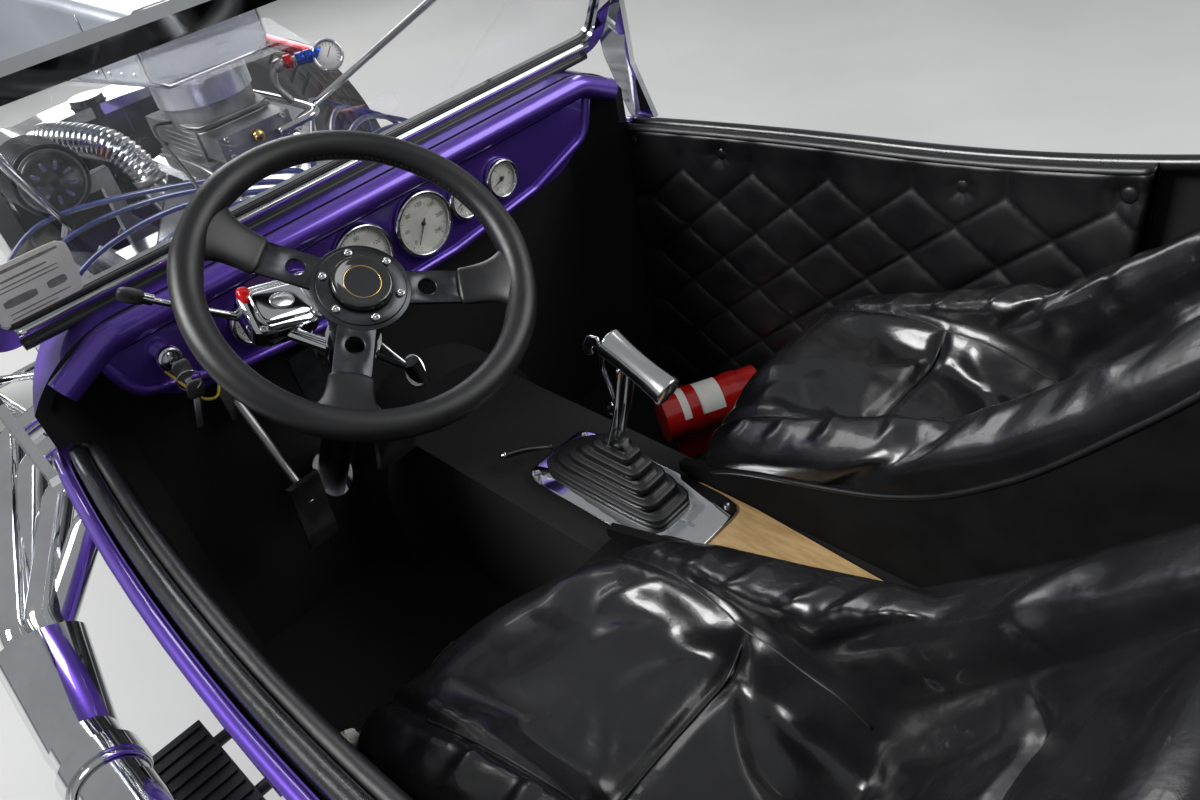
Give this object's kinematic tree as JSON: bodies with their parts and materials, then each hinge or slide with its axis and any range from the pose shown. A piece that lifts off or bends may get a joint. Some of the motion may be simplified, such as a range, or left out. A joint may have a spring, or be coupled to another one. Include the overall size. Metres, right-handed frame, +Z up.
{
  "type": "hot rod",
  "caption": "Open two-seat bucket hot rod with a scooped V8 ahead of the cockpit, ladder frame, beam axle, side pipes and steering gear that turns the front wheels.",
  "frame": {"origin": "On the ground under the centre of the bounding box.", "axes": "+X is forward, +Y is the driver's side, +Z is up."},
  "size_m": [3.4, 1.7832, 1.1875],
  "materials": {
    "violet_paint": "metallic violet gloss",
    "black_paint": "black gloss",
    "engine_paint": "dark painted casting",
    "chrome": "bright plated",
    "polished_alloy": "polished",
    "steel": "bare steel",
    "black_vinyl": "glossy black vinyl",
    "wheel_leather": "black leather",
    "tan_board": "tan board",
    "dial_rings": "bright rings",
    "red_bottle": "red gloss",
    "tyre_rubber": "black",
    "screen_glass": "clear",
    "black_rubber": "black"
  },
  "bodies": {
    "chassis": {"air_scoop": "polished_alloy", "body_shell": "violet_paint", "carburettor": "polished_alloy", "console": "tan_board", "cylinder_heads": "polished_alloy", "dash_panel": "violet_paint", "engine_block": "engine_paint", "engine_drives": "polished_alloy", "extinguisher": "red_bottle", "frame_rails": "black_paint", "front_axle": "chrome", "gauges": "dial_rings", "grille_shell": "chrome", "headers": "chrome", "intake": "polished_alloy", "lamps": "chrome", "pedals": "steel", "radiator": "black_paint", "rear_axle": "black_paint", "rear_bed": "violet_paint", "seat_cushions": "black_vinyl", "seat_shells": "black_vinyl", "shifter": "black_rubber", "side_trim": "black_vinyl", "signal_switch": "chrome", "steering_column": "chrome", "step_pads": "polished_alloy", "valve_covers": "polished_alloy", "windscreen_frame": "chrome", "windscreen_glass": "screen_glass"},
    "knuckle_left": {"knuckle_left": "chrome"},
    "knuckle_right": {"knuckle_right": "chrome"},
    "wheel_front_left": {"rim_front_left": "chrome", "tyre_front_left": "tyre_rubber"},
    "wheel_front_right": {"rim_front_right": "chrome", "tyre_front_right": "tyre_rubber"},
    "wheel_rear_left": {"rim_rear_left": "chrome", "tyre_rear_left": "tyre_rubber"},
    "wheel_rear_right": {"rim_rear_right": "chrome", "tyre_rear_right": "tyre_rubber"},
    "tie_rod": {"tie_rod": "chrome"},
    "drag_link": {"drag_link": "chrome"},
    "pitman_arm": {"pitman_arm": "steel"},
    "steering_wheel": {"steering_wheel": "wheel_leather"}
  },
  "joints": [
    {"name": "steer_left", "type": "hinge", "parent": "chassis", "child": "knuckle_left", "pos_m": [1.35, 0.56, 0.35], "axis": [0, 0, 1], "range_deg": [-25, 25]},
    {"name": "steer_right", "type": "hinge", "parent": "chassis", "child": "knuckle_right", "pos_m": [1.35, -0.56, 0.35], "axis": [0, 0, 1], "range_deg": [-25, 25]},
    {"name": "tie_rod_pivot", "type": "hinge", "parent": "knuckle_left", "child": "tie_rod", "pos_m": [1.16, 0.56, 0.2877], "axis": [0, 0, 1], "range_deg": [-25, 25]},
    {"name": "drag_link_pivot", "type": "hinge", "parent": "knuckle_left", "child": "drag_link", "pos_m": [1.25, 0.56, 0.3397], "axis": [0, 0, 1], "range_deg": [-25, 25]},
    {"name": "pitman_turn", "type": "hinge", "parent": "chassis", "child": "pitman_arm", "pos_m": [1.01, 0.235, 0.3137], "axis": [0, 0, 1], "range_deg": [-25, 25]},
    {"name": "steering_wheel_turn", "type": "hinge", "parent": "chassis", "child": "steering_wheel", "pos_m": [-0.438, 0.177, 0.914], "axis": [-0.6074, 0, 0.7944], "range_deg": [-450, 450]},
    {"name": "wheel_front_left_spin", "type": "hinge", "parent": "knuckle_left", "child": "wheel_front_left", "pos_m": [1.35, 0.665, 0.35], "axis": [0, 1, 0], "continuous": true},
    {"name": "wheel_front_right_spin", "type": "hinge", "parent": "knuckle_right", "child": "wheel_front_right", "pos_m": [1.35, -0.665, 0.35], "axis": [0, 1, 0], "continuous": true},
    {"name": "wheel_rear_left_spin", "type": "hinge", "parent": "chassis", "child": "wheel_rear_left", "pos_m": [-1.28, 0.725, 0.385], "axis": [0, 1, 0], "continuous": true},
    {"name": "wheel_rear_right_spin", "type": "hinge", "parent": "chassis", "child": "wheel_rear_right", "pos_m": [-1.28, -0.725, 0.385], "axis": [0, 1, 0], "continuous": true}
  ],
  "couplings": [
    {"joint": "steer_right", "follows": "steer_left", "ratio": 1},
    {"joint": "tie_rod_pivot", "follows": "steer_left", "ratio": -1},
    {"joint": "drag_link_pivot", "follows": "steer_left", "ratio": -1},
    {"joint": "pitman_turn", "follows": "steer_left", "ratio": 1},
    {"joint": "steering_wheel_turn", "follows": "steer_left", "ratio": 18}
  ]
}
